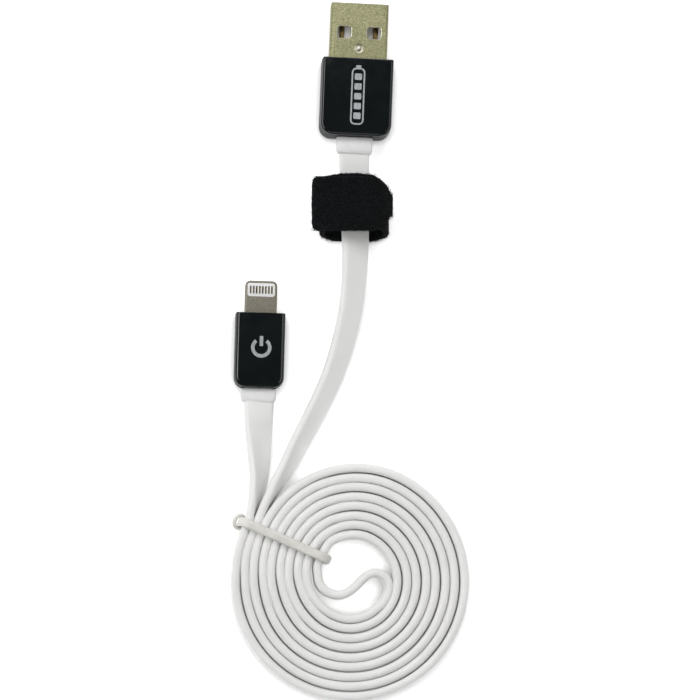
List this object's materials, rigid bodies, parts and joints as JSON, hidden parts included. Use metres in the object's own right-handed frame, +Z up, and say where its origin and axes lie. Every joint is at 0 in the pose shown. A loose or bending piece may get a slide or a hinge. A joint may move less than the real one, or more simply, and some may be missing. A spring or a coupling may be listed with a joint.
{
  "type": "charging cable",
  "caption": "Flat white charging cable wound into a tied coil, with a USB plug, a small reversible phone plug and a black hook-and-loop strap.",
  "frame": {"origin": "middle of the box around the plugs, the strap and the tie, without the cord, on the surface that everything lies on", "axes": "+Y the way the two plugs point, +X to the right seen from above with the plugs away from the viewer, +Z up from the surface"},
  "size_m": [0.0496, 0.1452, 0.0096],
  "materials": {
    "cable_jacket": "smooth white soft plastic jacket with a low sheen",
    "plug_cover": "polished black",
    "collar": "smooth white",
    "usb_shell_metal": "bead-blasted nickel plate with a pale olive-gold tint",
    "phone_plug_metal": "satin grey steel",
    "contact_gold": "gold plated, a little dulled",
    "inner_plastic": "white moulded plastic",
    "circuit_board": "green solder mask",
    "chip": "black moulded package",
    "ceramic": "tan ceramic",
    "loop_tape": "black brushed loop pile",
    "hook_tape": "black moulded hooks",
    "tie_rubber": "off-white rubber, satin",
    "wire_red": "smooth insulation",
    "wire_white": "smooth insulation",
    "wire_green": "smooth insulation",
    "wire_black": "smooth insulation"
  },
  "bodies": {
    "cable": {"usb_shell": "usb_shell_metal", "usb_tongue": "inner_plastic", "usb_contact_power": "contact_gold", "usb_contact_data_minus": "contact_gold", "usb_contact_data_plus": "contact_gold", "usb_contact_ground": "contact_gold", "usb_inner_mould": "inner_plastic", "usb_upper_cover": "plug_cover", "usb_lower_cover": "plug_cover", "usb_collar": "collar", "usb_wire_red": "wire_red", "usb_wire_white": "wire_white", "usb_wire_green": "wire_green", "usb_wire_black": "wire_black", "phone_plug_frame": "phone_plug_metal", "phone_plug_core": "inner_plastic", "phone_contact_top_1": "contact_gold", "phone_contact_top_2": "contact_gold", "phone_contact_top_3": "contact_gold", "phone_contact_top_4": "contact_gold", "phone_contact_top_5": "contact_gold", "phone_contact_top_6": "contact_gold", "phone_contact_top_7": "contact_gold", "phone_contact_top_8": "contact_gold", "phone_contact_bottom_1": "contact_gold", "phone_contact_bottom_2": "contact_gold", "phone_contact_bottom_3": "contact_gold", "phone_contact_bottom_4": "contact_gold", "phone_contact_bottom_5": "contact_gold", "phone_contact_bottom_6": "contact_gold", "phone_contact_bottom_7": "contact_gold", "phone_contact_bottom_8": "contact_gold", "phone_circuit_board": "circuit_board", "phone_controller_chip": "chip", "phone_capacitor_1": "ceramic", "phone_capacitor_2": "ceramic", "phone_upper_cover": "plug_cover", "phone_lower_cover": "plug_cover", "phone_collar": "collar", "phone_wire_red": "wire_red", "phone_wire_white": "wire_white", "phone_wire_green": "wire_green", "phone_wire_black": "wire_black", "cable_usb_tail": "cable_jacket", "cable_coil": "cable_jacket", "cable_center_bend": "cable_jacket", "cable_phone_tail": "cable_jacket"},
    "strap": {"strap_loop": "loop_tape", "strap_outer_layer": "loop_tape"},
    "strap_flap": {"strap_flap": "loop_tape", "strap_hook_pad": "hook_tape"},
    "coil_tie": {"coil_tie": "tie_rubber"}
  },
  "joints": [
    {"name": "strap_slide", "type": "slide", "parent": "cable", "child": "strap", "axis": [0, 1, 0], "range_m": [-0.005, 0.004]},
    {"name": "strap_flap_hinge", "type": "hinge", "parent": "strap", "child": "strap_flap", "pos_m": [0.0049, 0.0165, 0.0096], "axis": [0, 1, 0], "range_deg": [0, 105]},
    {"name": "coil_tie_turn", "type": "hinge", "parent": "cable", "child": "coil_tie", "pos_m": [0.0075, -0.0619, 0], "axis": [0, 0, 1], "range_deg": [-2, 8]}
  ]
}
